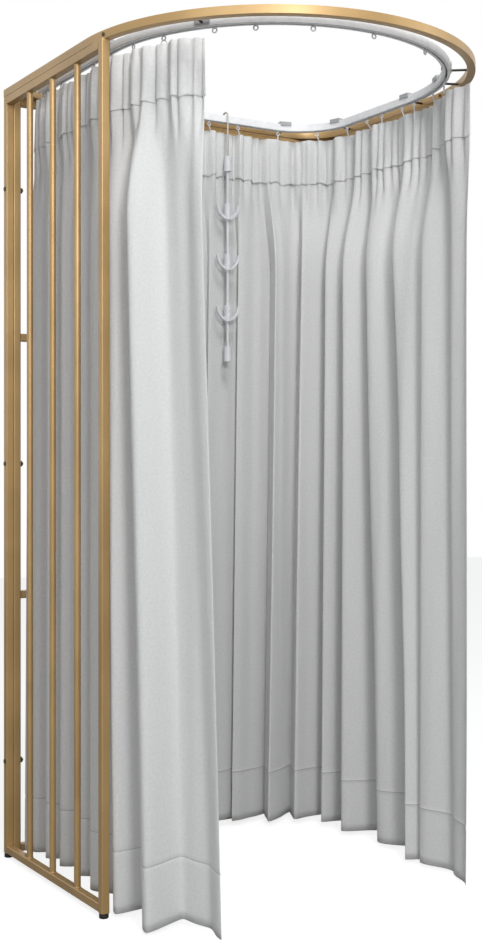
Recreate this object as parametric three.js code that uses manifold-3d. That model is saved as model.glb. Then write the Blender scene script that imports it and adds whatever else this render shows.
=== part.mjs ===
import * as THREE from 'three';
import { mergeVertices } from 'three/addons/utils/BufferGeometryUtils.js';
import Module from 'manifold-3d';

const wasm = await Module();
wasm.setup();

// A portable fitting room, in millimetres: +Z up, the back at +Y, the doorway towards -Y.
// The origin is on the floor, under the middle of the plan.

// Plan and height
const WIDTH = 1010;
const SIDE_STRAIGHT = 500;
const HEIGHT = 2000;
const FIT = 0.3;

// Square tube of the frame, and the side panels
const TUBE = 20;
const TUBE_WALL = 1.2;
const TUBE_CORNER = 2;
const PANEL_REACH = 90;
const BAR_COUNT = 3;
const BAR_DIAMETER = 16;
const BAR_WALL = 1;
const CROSS_RAIL_HEIGHTS = { back_lower_rail: 0.3415 * HEIGHT, back_upper_rail: 0.6775 * HEIGHT };

// Feet
const FOOT_DIAMETER = 22;
const FOOT_HEIGHT = 12;
const FOOT_EDGE = 1.5;
const STEM_DIAMETER = 8;
const STEM_LENGTH = 24;
const END_PLATE = 5;

// Bolts that hold the back panel between the side panels
const BOLT_HEIGHTS = { lower: 0.125 * HEIGHT, middle: 0.5125 * HEIGHT, upper: 0.87 * HEIGHT };
const BOLT_DIAMETER = 6;
const BOLT_HEAD_DIAMETER = 12;
const BOLT_HEAD_HEIGHT = 2;
const BOLT_END = 3;
const NUT_ACROSS = 13;
const NUT_HEIGHT = 6;

// Top ring: plugs of its side sections stand in the posts, and spigots of its front and back
// sections in them. A curved tube braces each rear corner.
const RING_EDGE = 1.5;
const SPIGOT_LENGTH = 40;
const SPIGOT_ROOT = 30;
const SPIGOT_WALL = 2;
const PLUG_LENGTH = 25;
const PLUG_ROOT = 0.6;
const BRACE_RADIUS = 130;
const CORNER_REACH = 160;
const RING_BOLT_BACK = 6;
const RING_BOLT_DIAMETER = 4;
const RING_BOLT_END = 1;
const RING_BOLT_HEAD = 9;
const RING_BOLT_HEAD_HEIGHT = 2;
const RING_NUT_ACROSS = 7;
const RING_NUT_HEIGHT = 3;

// Curtain track, bent from one length
const TRACK_INSET = 70;
const TRACK_WIDTH = 20;
const TRACK_HEIGHT = 20;
const TRACK_CORNER = 155;
const TRACK_END = 83;
const CHANNEL_WIDTH = 14;
const CHANNEL_HEIGHT = 12;
const SLOT_WIDTH = 5;
const LIP = 3;

// Brackets: a saddle over the track, and an arm to the ring
const SADDLE_LENGTH = 35;
const SADDLE_WALL = 2;
const SADDLE_TOP = 6;
const SADDLE_SKIRT = 5;
const SADDLE_CLEARANCE = 0.8;
const ARM_DIAMETER = 6;
const ARM_DROP = 11;
const BRACKET_FROM_END = 92;
const BRACKET_FROM_ARC = 4;
const BRACKET_ON_CORNER = 42;
const BRACKET_ARC_DEGREES = 23;
const BRACKET_FRONT_DEGREES = 38;

// Runners in the track
const CARRIAGE_LENGTH = 13;
const CARRIAGE_HEIGHT = 8;
const CARRIAGE_PLAY = 0.8;
const NECK = 3.6;
const NECK_ROOT = 1;
const EYE_RADIUS = 5;
const EYE_WIRE = 1.8;
const EYE_DROP = 8;
const RING_RADIUS = 8.3;
const RING_WIRE = 1.2;
const RING_DROP = 21.5;
const SPARE_RUNNER_DEGREES = [41.3, 53.4, 70, 89.5, 112.7];
const LEFT_LEAD_ALONG = 186;
const RIGHT_LEAD_ALONG = 228;

// Curtain cloth, with its top edge below the track
const CLOTH = 3;
const CLOTH_DROP = 25;
const PIN_CLOTH_OUT = 8;
const HEADER = 125;
const STEPS_PER_FOLD = 4;
const WAIST_LEVEL = 0.5;
const TAIL_ROOM = 15.5;

// Hook strip: a wire hook over the back track, a moulded strip and three double hooks
const STRIP_X = 126;
const HOOK_WIRE = 5;
const HOOK_SEAT_DROP = 4;
const BALL_DIAMETER = 9;
const BALL_RINGS = 6;
const BELL_DIAMETER = 21;
const BELL_LENGTH = 42;
const BELL_DROP = 116;
const BELL_LIP = 2;
const BELL_MOUTH = 8;
const BELL_HOLLOW = 10;
const STRIP_DIAMETER = 8;
const WEIGHT_DROP = 647;
const COLLAR_DIAMETER = 12;
const COLLAR_HEIGHT = 4;
const ANCHOR_DROPS = { upper: 293, middle: 434, lower: 577 };
const SLEEVE_DIAMETER = 20;
const SLEEVE_HEIGHT = 45;
const ANCHOR_RADIUS = 36;
const ANCHOR_THICKNESS = 9;
const ANCHOR_TIP = 6;
const ANCHOR_DEPTH = 10;
const ANCHOR_RISE = 5;
const ANCHOR_EDGE = 1.2;

// Facets
const ARC_SEGMENTS = 18;
const CORNER_SEGMENTS = 12;
const ROUND_SIDES = 18;
const SMALL_SIDES = 10;
const WIRE_SIDES = 6;
const HOOK_STEPS = 10;
const CRESCENT_STEPS = 10;
const CUT_PAST = 2;

// What follows from the sizes above
const ARC_RADIUS = WIDTH / 2;
const PANEL_LENGTH = SIDE_STRAIGHT + PANEL_REACH;
const FOOT_OVERHANG = (FOOT_DIAMETER - TUBE) / 2;
const BACK_Y = (SIDE_STRAIGHT + ARC_RADIUS - FOOT_OVERHANG) / 2;
const ARC_Y = BACK_Y - SIDE_STRAIGHT;
const RING_BOTTOM = HEIGHT - TUBE;
const PANEL_TOP = RING_BOTTOM - FIT;
const POST_X = ARC_RADIUS - TUBE / 2;
const REAR_POST_Y = BACK_Y - TUBE / 2;
const FRONT_POST_Y = BACK_Y - PANEL_LENGTH + TUBE / 2;
const BACK_POST_X = ARC_RADIUS - 1.5 * TUBE - FIT;
const JOINT_ANGLE = Math.asin(PANEL_REACH / ARC_RADIUS);
const TRACK_RADIUS = ARC_RADIUS - TRACK_INSET;
const TRACK_BOTTOM = HEIGHT - TRACK_HEIGHT;
const CORNER_X = TRACK_RADIUS - TRACK_CORNER;
const CORNER_Y = BACK_Y - TRACK_INSET - TRACK_CORNER;
const LIP_TOP = TRACK_BOTTOM + LIP;
const CLOTH_TOP = TRACK_BOTTOM - CLOTH_DROP;
const BELL_TOP = HEIGHT - BELL_DROP;
const WEIGHT_TOP = HEIGHT - WEIGHT_DROP;

// Places along the track's middle line, counted forward from the start of the front arc
const SIDE_END = TRACK_END - SIDE_STRAIGHT;
const CORNER_START = TRACK_CORNER + TRACK_INSET - SIDE_STRAIGHT;
const CORNER_END = CORNER_START - Math.PI / 2 * TRACK_CORNER;
const BACK_END = CORNER_END - (CORNER_X + ARC_RADIUS - TRACK_END);

const FINISHES = {
  gold: { color: 0xb8935a, roughness: 0.38, metalness: 0.85 },
  steel: { color: 0x55504a, roughness: 0.45, metalness: 0.7 },
  foot: { color: 0x16140f, roughness: 0.6, metalness: 0 },
  white: { color: 0xe4e4e8, roughness: 0.45, metalness: 0 },
  clip: { color: 0xb8b8ba, roughness: 0.5, metalness: 0 },
  cloth: { color: 0xcbcbca, roughness: 0.95, metalness: 0 },
};

const room = new THREE.Group();

function place(name, geometry, finish, x = 0, y = 0, z = 0, turn = 0) {
  const mesh = new THREE.Mesh(geometry, new THREE.MeshStandardMaterial(FINISHES[finish]));
  mesh.name = name;
  mesh.position.set(x, y, z);
  mesh.rotation.z = turn;
  room.add(mesh);
  return mesh;
}

// A closed geometry as a solid that can be joined and cut, and back again
function solid(geometry) {
  const bare = geometry.clone();
  bare.deleteAttribute('normal');
  bare.deleteAttribute('uv');
  const merged = mergeVertices(bare);
  return new wasm.Manifold(new wasm.Mesh({
    numProp: 3,
    vertProperties: new Float32Array(merged.attributes.position.array),
    triVerts: new Uint32Array(merged.index.array),
  }));
}

function geometryOf(body) {
  const mesh = body.getMesh();
  const geometry = new THREE.BufferGeometry();
  geometry.setAttribute('position', new THREE.BufferAttribute(mesh.vertProperties, 3));
  geometry.setIndex(new THREE.BufferAttribute(mesh.triVerts, 1));
  return geometry;
}

// Simple solids, each centred in plan on the point it is given
function block(sizeX, sizeY, sizeZ, x, y, bottom) {
  return solid(new THREE.BoxGeometry(sizeX, sizeY, sizeZ).translate(x, y, bottom + sizeZ / 2));
}

function upright(diameter, length, x, y, bottom, sides = ROUND_SIDES) {
  const geometry = new THREE.CylinderGeometry(diameter / 2, diameter / 2, length, sides);
  return solid(geometry.rotateX(Math.PI / 2).translate(x, y, bottom + length / 2));
}

function crosswise(diameter, fromX, toX, y, z, sides = SMALL_SIDES) {
  const length = Math.abs(toX - fromX);
  const geometry = new THREE.CylinderGeometry(diameter / 2, diameter / 2, length, sides);
  return solid(geometry.rotateZ(Math.PI / 2).translate((fromX + toX) / 2, y, z));
}

// Square tube, open at both ends, its length along +Z
function squareOutline(side, corner) {
  const half = side / 2;
  const outline = new THREE.Shape();
  if (corner <= 0) {
    outline.moveTo(-half, -half).lineTo(half, -half).lineTo(half, half).lineTo(-half, half);
    return outline;
  }
  const inner = half - corner;
  outline.absarc(inner, inner, corner, 0, Math.PI / 2, false);
  outline.absarc(-inner, inner, corner, Math.PI / 2, Math.PI, false);
  outline.absarc(-inner, -inner, corner, Math.PI, 1.5 * Math.PI, false);
  outline.absarc(inner, -inner, corner, 1.5 * Math.PI, 2 * Math.PI, false);
  return outline;
}

function squareTube(length) {
  const outline = squareOutline(TUBE, TUBE_CORNER);
  outline.holes.push(squareOutline(TUBE - 2 * TUBE_WALL, 0));
  return new THREE.ExtrudeGeometry(outline, { depth: length, bevelEnabled: false, curveSegments: 1 });
}

// Posts: the foot's stem screws into an end plate, and bolt holes cross the rear ones
function postSolid(boltHoles, hasFoot) {
  let body = solid(squareTube(PANEL_TOP - FOOT_HEIGHT).translate(0, 0, FOOT_HEIGHT));
  if (hasFoot) {
    const plate = TUBE - TUBE_WALL;
    body = body.add(block(plate, plate, END_PLATE, 0, 0, FOOT_HEIGHT));
    const depth = END_PLATE + 2 * CUT_PAST;
    body = body.subtract(upright(STEM_DIAMETER + 2 * FIT, depth, 0, 0, FOOT_HEIGHT - CUT_PAST, SMALL_SIDES));
  }
  if (boltHoles) {
    for (const height of Object.values(BOLT_HEIGHTS)) {
      body = body.subtract(crosswise(BOLT_DIAMETER + 2 * FIT, -TUBE, TUBE, 0, height));
    }
  }
  return geometryOf(body);
}

function footGeometry() {
  const radius = FOOT_DIAMETER / 2;
  const stem = STEM_DIAMETER / 2;
  const top = FOOT_HEIGHT - FIT;
  const profile = [
    [0, 0], [radius - FOOT_EDGE, 0], [radius, FOOT_EDGE], [radius, top - FOOT_EDGE],
    [radius - FOOT_EDGE, top], [stem, top], [stem, top + STEM_LENGTH], [0, top + STEM_LENGTH],
  ].map(([r, z]) => new THREE.Vector2(r, z));
  return new THREE.LatheGeometry(profile, ROUND_SIDES).rotateX(Math.PI / 2);
}

function barGeometry(length) {
  const outline = new THREE.Shape().absarc(0, 0, BAR_DIAMETER / 2, 0, 2 * Math.PI, false);
  outline.holes.push(new THREE.Path().absarc(0, 0, BAR_DIAMETER / 2 - BAR_WALL, 0, 2 * Math.PI, false));
  const settings = { depth: length, bevelEnabled: false, curveSegments: SMALL_SIDES - 2 };
  return new THREE.ExtrudeGeometry(outline, settings);
}

// Side panels: two posts, a rail at the top and the bottom, and bars at an equal pitch
for (const [side, sign] of [['left', -1], ['right', 1]]) {
  const x = sign * POST_X;
  place(`${side}_rear_post`, postSolid(true, true), 'gold', x, REAR_POST_Y);
  place(`${side}_front_post`, postSolid(false, true), 'gold', x, FRONT_POST_Y);
  const railStart = FRONT_POST_Y + TUBE / 2 + FIT;
  const railLength = REAR_POST_Y - TUBE / 2 - FIT - railStart;
  const rail = squareTube(railLength).rotateX(-Math.PI / 2);
  place(`${side}_top_rail`, rail, 'gold', x, railStart, PANEL_TOP - TUBE / 2);
  place(`${side}_bottom_rail`, rail.clone(), 'gold', x, railStart, FOOT_HEIGHT + TUBE / 2);
  const pitch = (REAR_POST_Y - FRONT_POST_Y) / (BAR_COUNT + 1);
  const barBottom = FOOT_HEIGHT + TUBE + FIT;
  for (let i = 1; i <= BAR_COUNT; i += 1) {
    const bar = barGeometry(PANEL_TOP - TUBE - FIT - barBottom);
    place(`${side}_bar_${i}`, bar, 'gold', x, REAR_POST_Y - i * pitch, barBottom);
  }
  place(`${side}_rear_foot`, footGeometry(), 'foot', x, REAR_POST_Y);
  place(`${side}_front_foot`, footGeometry(), 'foot', x, FRONT_POST_Y);
}

// Back panel: two posts beside the side panels' rear posts, and four rails between them
place('back_left_post', postSolid(true, false), 'gold', -BACK_POST_X, REAR_POST_Y);
place('back_right_post', postSolid(true, false), 'gold', BACK_POST_X, REAR_POST_Y);
const backRailHalf = BACK_POST_X - TUBE / 2 - FIT;
const backRailHeights = {
  back_top_rail: PANEL_TOP - TUBE / 2,
  ...CROSS_RAIL_HEIGHTS,
  back_bottom_rail: FOOT_HEIGHT + TUBE / 2,
};
for (const [name, height] of Object.entries(backRailHeights)) {
  const rail = squareTube(2 * backRailHalf).rotateY(Math.PI / 2);
  place(name, rail, 'gold', -backRailHalf, REAR_POST_Y, height);
}

// Bolts: a low head outside the side panel, a shank through both posts, and a nut inside
function boltGeometry() {
  const outside = -TUBE / 2 - FIT;
  const inside = 1.5 * TUBE + 2 * FIT;
  const head = crosswise(BOLT_HEAD_DIAMETER, outside - BOLT_HEAD_HEIGHT, outside, 0, 0, ROUND_SIDES);
  const shank = crosswise(BOLT_DIAMETER, outside - BOLT_HEAD_HEIGHT / 2, inside + NUT_HEIGHT + BOLT_END, 0, 0);
  const nut = crosswise(NUT_ACROSS / Math.cos(Math.PI / 6), inside, inside + NUT_HEIGHT, 0, 0, 6);
  return geometryOf(head.add(shank).add(nut));
}

for (const [level, height] of Object.entries(BOLT_HEIGHTS)) {
  place(`left_${level}_bolt`, boltGeometry(), 'steel', -POST_X, REAR_POST_Y, height);
  place(`right_${level}_bolt`, boltGeometry(), 'steel', POST_X, REAR_POST_Y, height, Math.PI);
}

// Top ring. A side section is drawn for the left and mirrored in plan for the right.
function sideBand(margin, backEnd, endAngle, startAngle = 0) {
  const outer = ARC_RADIUS - margin;
  const inner = ARC_RADIUS - TUBE + margin;
  const outline = new THREE.Shape();
  if (startAngle === 0) {
    outline.moveTo(-outer, backEnd);
    outline.lineTo(-outer, ARC_Y);
  }
  outline.absarc(0, ARC_Y, outer, Math.PI + startAngle, Math.PI + endAngle, false);
  outline.absarc(0, ARC_Y, inner, Math.PI + endAngle, Math.PI + startAngle, true);
  if (startAngle === 0) {
    outline.lineTo(-inner, backEnd);
  }
  return outline;
}

function softEdged(outline, edge, segments) {
  return new THREE.ExtrudeGeometry(outline, {
    depth: TUBE - 2 * edge,
    bevelThickness: edge,
    bevelSize: edge,
    bevelOffset: -edge,
    bevelSegments: 1,
    curveSegments: segments,
  }).translate(0, 0, RING_BOTTOM + edge);
}

function plainBand(outline, margin, segments) {
  const settings = { depth: TUBE - 2 * margin, bevelEnabled: false, curveSegments: segments };
  return solid(new THREE.ExtrudeGeometry(outline, settings).translate(0, 0, RING_BOTTOM + margin));
}

// The rear corner of a side section: a short stub along the back, and the curved brace inside it
function cornerStub(margin, reach) {
  const outline = new THREE.Shape();
  outline.moveTo(-ARC_RADIUS + margin, BACK_Y - TUBE + margin);
  outline.lineTo(-ARC_RADIUS + reach, BACK_Y - TUBE + margin);
  outline.lineTo(-ARC_RADIUS + reach, BACK_Y - margin);
  outline.lineTo(-ARC_RADIUS + margin, BACK_Y - margin);
  return outline;
}

function cornerBrace(margin) {
  const outer = BRACE_RADIUS + TUBE / 2 - margin;
  const inner = BRACE_RADIUS - TUBE / 2 + margin;
  const outline = new THREE.Shape();
  outline.absarc(BRACE_X, BRACE_Y, outer, Math.PI / 2, Math.PI, false);
  outline.absarc(BRACE_X, BRACE_Y, inner, Math.PI, Math.PI / 2, true);
  return outline;
}

const SIDE_ARC_SEGMENTS = 2;
const BRACE_SEGMENTS = 5;
const BRACE_X = TUBE / 2 + BRACE_RADIUS - ARC_RADIUS;
const BRACE_Y = BACK_Y - TUBE / 2 - BRACE_RADIUS;
const spigotMargin = TUBE_WALL + FIT;
const spigotHollow = spigotMargin + SPIGOT_WALL;
const SPIGOT_SIDE = TUBE - 2 * spigotMargin;
const boltAngle = Math.asin((PANEL_REACH - RING_BOLT_BACK) / ARC_RADIUS);

// A cylinder along the radius of the arc at the left ring bolt, between two distances from it
function radial(diameter, fromRadius, toRadius, sides = SMALL_SIDES) {
  const length = toRadius - fromRadius;
  const geometry = new THREE.CylinderGeometry(diameter / 2, diameter / 2, length, sides);
  geometry.rotateZ(Math.PI / 2).translate(-(fromRadius + toRadius) / 2, 0, 0).rotateZ(boltAngle);
  return solid(geometry.translate(0, ARC_Y, RING_BOTTOM + TUBE / 2));
}

function ringBoltHole() {
  return radial(RING_BOLT_DIAMETER + 2 * FIT, ARC_RADIUS - 2 * TUBE, ARC_RADIUS + TUBE);
}

function sideRing() {
  let body = solid(softEdged(sideBand(0, BACK_Y, JOINT_ANGLE), RING_EDGE, SIDE_ARC_SEGMENTS))
    .add(solid(softEdged(cornerStub(0, CORNER_REACH), RING_EDGE, 1)))
    .add(solid(softEdged(cornerBrace(0), RING_EDGE, BRACE_SEGMENTS)));
  const pastJoint = JOINT_ANGLE + CUT_PAST / ARC_RADIUS;
  const hollow = sideBand(TUBE_WALL, BACK_Y - TUBE_WALL, pastJoint);
  body = body.subtract(plainBand(hollow, TUBE_WALL, SIDE_ARC_SEGMENTS)).subtract(ringBoltHole())
    .subtract(plainBand(cornerStub(TUBE_WALL, CORNER_REACH + CUT_PAST), TUBE_WALL, 1))
    .subtract(plainBand(cornerBrace(TUBE_WALL), TUBE_WALL, BRACE_SEGMENTS));
  for (const y of [REAR_POST_Y, FRONT_POST_Y]) {
    body = body.add(block(SPIGOT_SIDE, SPIGOT_SIDE, PLUG_LENGTH + PLUG_ROOT, -POST_X, y, RING_BOTTOM - PLUG_LENGTH));
  }
  return body;
}

const leftRing = sideRing();
place('ring_left', geometryOf(leftRing), 'gold');
place('ring_right', geometryOf(leftRing.mirror([1, 0, 0])), 'gold');

function frontBand(margin, startAngle) {
  const outline = new THREE.Shape();
  outline.absarc(0, ARC_Y, ARC_RADIUS - margin, Math.PI + startAngle, 2 * Math.PI - startAngle, false);
  outline.absarc(0, ARC_Y, ARC_RADIUS - TUBE + margin, 2 * Math.PI - startAngle, Math.PI + startAngle, true);
  return outline;
}

const frontStart = JOINT_ANGLE + FIT / ARC_RADIUS;
const spigotRoot = JOINT_ANGLE + SPIGOT_ROOT / ARC_RADIUS;
const spigotEnd = JOINT_ANGLE - SPIGOT_LENGTH / ARC_RADIUS;
const spigotPast = CUT_PAST / ARC_RADIUS;
const frontTube = solid(softEdged(frontBand(0, frontStart), RING_EDGE, ARC_SEGMENTS));
const frontHollow = plainBand(frontBand(TUBE_WALL, spigotRoot), TUBE_WALL, ARC_SEGMENTS);
const spigotBar = plainBand(sideBand(spigotMargin, 0, spigotRoot + spigotPast, spigotEnd), spigotMargin, SIDE_ARC_SEGMENTS);
const spigotWay = plainBand(
  sideBand(spigotHollow, 0, spigotRoot + 2 * spigotPast, spigotEnd - spigotPast),
  spigotHollow,
  SIDE_ARC_SEGMENTS,
);
const spigot = spigotBar.subtract(ringBoltHole());
const spigots = spigot.add(spigot.mirror([1, 0, 0]));
const spigotWays = spigotWay.add(spigotWay.mirror([1, 0, 0]));
const ringFront = frontTube.add(spigots).subtract(frontHollow).subtract(spigotWays);
place('ring_front', geometryOf(ringFront), 'gold');

// Ring bolts: a low head outside, the shank through tube and spigot, and a nut inside
const ringBolt = radial(RING_BOLT_HEAD, ARC_RADIUS + FIT, ARC_RADIUS + FIT + RING_BOLT_HEAD_HEIGHT, ROUND_SIDES)
  .add(radial(RING_BOLT_DIAMETER, ARC_RADIUS - TUBE - RING_NUT_HEIGHT - RING_BOLT_END, ARC_RADIUS + RING_BOLT_END))
  .add(radial(
    RING_NUT_ACROSS / Math.cos(Math.PI / 6),
    ARC_RADIUS - TUBE - FIT - RING_NUT_HEIGHT,
    ARC_RADIUS - TUBE - FIT,
    6,
  ));
place('ring_left_bolt', geometryOf(ringBolt), 'steel');
place('ring_right_bolt', geometryOf(ringBolt.mirror([1, 0, 0])), 'steel');

// The back section lies between the stubs, with a spigot in each
const ringBackHalf = ARC_RADIUS - CORNER_REACH - FIT;
const spigotSpan = 2 * (ringBackHalf + SPIGOT_LENGTH);
const rootFill = block(2 * ringBackHalf - FIT, TUBE - TUBE_WALL, TUBE - TUBE_WALL, 0, 0, -(TUBE - TUBE_WALL) / 2)
  .subtract(block(2 * (ringBackHalf - SPIGOT_ROOT), TUBE, TUBE, 0, 0, -TUBE / 2));
const backSpigots = block(spigotSpan, SPIGOT_SIDE, SPIGOT_SIDE, 0, 0, -SPIGOT_SIDE / 2)
  .subtract(block(2 * (ringBackHalf - SPIGOT_ROOT), TUBE, TUBE, 0, 0, -TUBE / 2));
const spigotBore = SPIGOT_SIDE - 2 * SPIGOT_WALL;
const ringBack = solid(squareTube(2 * ringBackHalf).rotateY(Math.PI / 2).translate(-ringBackHalf, 0, 0))
  .add(rootFill)
  .add(backSpigots)
  .subtract(block(spigotSpan + CUT_PAST, spigotBore, spigotBore, 0, 0, -spigotBore / 2));
place('ring_back', geometryOf(ringBack), 'gold', 0, REAR_POST_Y, RING_BOTTOM + TUBE / 2);

// Where a piece on the track stands: a distance along the track's middle line, forward from the
// start of the front arc, and how far out of that line. The right side goes on round its corner.
function onTrack(sign, along, out) {
  const reach = TRACK_RADIUS + out;
  if (along > 0) {
    const angle = along / TRACK_RADIUS;
    return { x: sign * reach * Math.cos(angle), y: ARC_Y - reach * Math.sin(angle) };
  }
  if (sign < 0 || along > CORNER_START) {
    return { x: sign * reach, y: ARC_Y - along };
  }
  const bend = (CORNER_START - along) / TRACK_CORNER;
  const radius = TRACK_CORNER + out;
  if (bend < Math.PI / 2) {
    return { x: CORNER_X + radius * Math.cos(bend), y: CORNER_Y + radius * Math.sin(bend) };
  }
  return { x: CORNER_X - (bend - Math.PI / 2) * TRACK_CORNER, y: CORNER_Y + radius };
}

// A flat band of even width along the track's line, or beside it, through the places listed as
// [side, distance]
function bandSolid(places, width, bottom, height, out = 0) {
  const outside = places.map(([sign, along]) => onTrack(sign, along, out + width / 2));
  const inside = places.map(([sign, along]) => onTrack(sign, along, out - width / 2)).reverse();
  const outline = new THREE.Shape([...outside, ...inside].map(({ x, y }) => new THREE.Vector2(x, y)));
  const settings = { depth: height, bevelEnabled: false };
  return solid(new THREE.ExtrudeGeometry(outline, settings).translate(0, 0, bottom));
}

function stations(sign, from, to, count) {
  return Array.from({ length: count + 1 }, (_, i) => [sign, THREE.MathUtils.lerp(from, to, i / count)]);
}

// Track: from the left rear, round the front and the right back corner, to the left end of the back
function trackSolid(width, bottom, height, past) {
  const front = Math.PI / 2 * TRACK_RADIUS;
  const places = [
    [-1, SIDE_END - past],
    ...stations(-1, 0, front, ARC_SEGMENTS),
    ...stations(1, front, 0, ARC_SEGMENTS).slice(1),
    ...stations(1, CORNER_START, CORNER_END, CORNER_SEGMENTS),
    [1, BACK_END - past],
  ];
  return bandSolid(places, width, bottom, height);
}

const trackBar = trackSolid(TRACK_WIDTH, TRACK_BOTTOM, TRACK_HEIGHT, 0);
const trackChannel = trackSolid(CHANNEL_WIDTH, LIP_TOP, CHANNEL_HEIGHT, CUT_PAST);
const trackSlot = trackSolid(SLOT_WIDTH, TRACK_BOTTOM - CUT_PAST, LIP + 2 * CUT_PAST, CUT_PAST);
place('track', geometryOf(trackBar.subtract(trackChannel).subtract(trackSlot)), 'white');

// The room inside the ring, less the fit: the arms of the brackets end there
const insideX = ARC_RADIUS - TUBE - FIT;
const insideOutline = new THREE.Shape();
const insideCorner = BRACE_RADIUS - TUBE / 2 - FIT;
insideOutline.absarc(-BRACE_X, BRACE_Y, insideCorner, 0, Math.PI / 2, false);
insideOutline.absarc(BRACE_X, BRACE_Y, insideCorner, Math.PI / 2, Math.PI, false);
insideOutline.absarc(0, ARC_Y, insideX, Math.PI, 2 * Math.PI, false);
const insideRing = solid(new THREE.ExtrudeGeometry(insideOutline, {
  depth: 2 * TUBE + SADDLE_TOP,
  bevelEnabled: false,
  curveSegments: ARC_SEGMENTS,
}).translate(0, 0, HEIGHT - 2 * TUBE));

// Bracket: a saddle that follows the track, deeper on its outer side, and an arm to the ring
function bracketSolid(sign, along) {
  const gapWidth = TRACK_WIDTH + 2 * SADDLE_CLEARANCE;
  const armHeight = HEIGHT - ARM_DROP;
  const bottom = armHeight - ARM_DIAMETER / 2;
  const half = SADDLE_LENGTH / 2;
  const places = stations(sign, along - half, along + half, 4);
  const pastPlaces = stations(sign, along - half - CUT_PAST, along + half + CUT_PAST, 4);
  const skirt = HEIGHT - SADDLE_SKIRT;
  const saddle = bandSolid(places, gapWidth + 2 * SADDLE_WALL, skirt, SADDLE_SKIRT + SADDLE_TOP)
    .add(bandSolid(places, SADDLE_WALL, bottom, skirt + CUT_PAST - bottom, (gapWidth + SADDLE_WALL) / 2));
  const gap = bandSolid(pastPlaces, gapWidth, bottom - CUT_PAST, HEIGHT + FIT - bottom + CUT_PAST);
  const start = onTrack(sign, along, (gapWidth + SADDLE_WALL) / 2);
  const end = onTrack(sign, along, 1.5 * TRACK_INSET);
  const length = Math.hypot(end.x - start.x, end.y - start.y);
  const arm = new THREE.CylinderGeometry(ARM_DIAMETER / 2, ARM_DIAMETER / 2, length, SMALL_SIDES);
  arm.translate(0, length / 2, 0).rotateZ(Math.atan2(end.y - start.y, end.x - start.x) - Math.PI / 2);
  arm.translate(start.x, start.y, armHeight);
  return saddle.subtract(gap).add(solid(arm)).intersect(insideRing);
}

const arcPlace = THREE.MathUtils.degToRad(BRACKET_ARC_DEGREES) * TRACK_RADIUS;
const frontPlace = THREE.MathUtils.degToRad(BRACKET_FRONT_DEGREES) * TRACK_RADIUS;
const brackets = {
  left_rear: [-1, SIDE_END + BRACKET_FROM_END],
  left_middle: [-1, -BRACKET_FROM_ARC],
  left_front: [-1, frontPlace],
  back_left: [1, BACK_END + BRACKET_FROM_END],
  back_right: [1, CORNER_END + BRACKET_ON_CORNER],
  right_rear: [1, CORNER_START - BRACKET_ON_CORNER],
  right_middle: [1, -BRACKET_FROM_ARC],
  right_arc: [1, arcPlace],
  right_front: [1, frontPlace],
};
for (const [name, [sign, along]] of Object.entries(brackets)) {
  place(`${name}_bracket`, geometryOf(bracketSolid(sign, along)), 'clip');
}

// Curtains. Each fold line is [along the track at the top, out of its line at the top,
// along the track at the hem, out of its line at the hem, height of the hem], from tail to lead.
// Lines behind the start of the front arc are spread evenly between it and the track's end.
const LEFT_FOLDS = [
  [-417, 8, -427, 42, 34], [-385, 22, -390, 34, 34], [-345, 8, -348, -10, 36], [-303, 22, -302, 36, 38],
  [-262, 8, -262, -14, 38], [-221, 22, -220, 38, 40], [-180, 8, -178, -12, 42], [-138, 22, -132, 36, 40],
  [-96, 8, -88, -16, 36], [-56, 22, -40, 38, 30], [-12, 8, 28, -14, 24], [45, 24, 98, 56, 12],
  [92, 8, 126, -6, 20], [137, 24, 203, 96, 8], [LEFT_LEAD_ALONG, PIN_CLOTH_OUT, 244, 5, 20], [236, 24, 300, 14, 12],
  [292, 8, 341, 62, 5],
];
const RIGHT_FOLDS = [
  [-1205, 8, -1205, 2, 20], [-1160, 22, -1160, 36, 18], [-1112, 6, -1112, -24, 18], [-1066, 22, -1066, 34, 18],
  [-1020, 6, -1020, -26, 18], [-972, 22, -972, 36, 18], [-926, 6, -926, -24, 18], [-880, 22, -880, 34, 18],
  [-832, 6, -832, -26, 18], [-786, 22, -786, 36, 18], [-738, 8, -738, -18, 20], [-692, 24, -692, 34, 34],
  [-640, 6, -640, -25, 16], [-598, 22, -598, 24, 16], [-552, 6, -552, -34, 16], [-505, 22, -505, 24, 16],
  [-455, 6, -455, -46, 16], [-400, 22, -400, 20, 16], [-325, 6, -325, -60, 16], [-268, 22, -270, 14, 16],
  [-200, 4, -200, -76, 14], [-140, 22, -140, 8, 14], [-40, 6, -38, -57, 14], [40, 22, 48, 12, 14],
  [120, 4, 128, -72, 12], [174, 24, 214, 36, 12], [RIGHT_LEAD_ALONG, PIN_CLOTH_OUT, 271, 18, 14], [289, 56, 332, 47, 5],
];

// The cloth's middle line at one level, going evenly from each fold line to the next
function foldLine(folds, sign, level) {
  const tail = sign < 0 ? SIDE_END : BACK_END + TAIL_ROOM;
  const spread = tail / folds[0][0];
  const stops = folds.map(([topAlong, topOut, hemAlong, hemOut]) => {
    const along = THREE.MathUtils.lerp(topAlong, hemAlong, level);
    return {
      along: along < 0 ? along * spread : along,
      out: THREE.MathUtils.lerp(topOut, hemOut, level),
    };
  });
  const line = [];
  for (let i = 0; i + 1 < stops.length; i += 1) {
    for (let k = 0; k < STEPS_PER_FOLD; k += 1) {
      const share = k / STEPS_PER_FOLD;
      const swing = (1 - Math.cos(Math.PI * share)) / 2;
      const along = THREE.MathUtils.lerp(stops[i].along, stops[i + 1].along, share);
      line.push(onTrack(sign, along, THREE.MathUtils.lerp(stops[i].out, stops[i + 1].out, swing)));
    }
  }
  const last = stops[stops.length - 1];
  line.push(onTrack(sign, last.along, last.out));
  return line;
}

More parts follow.
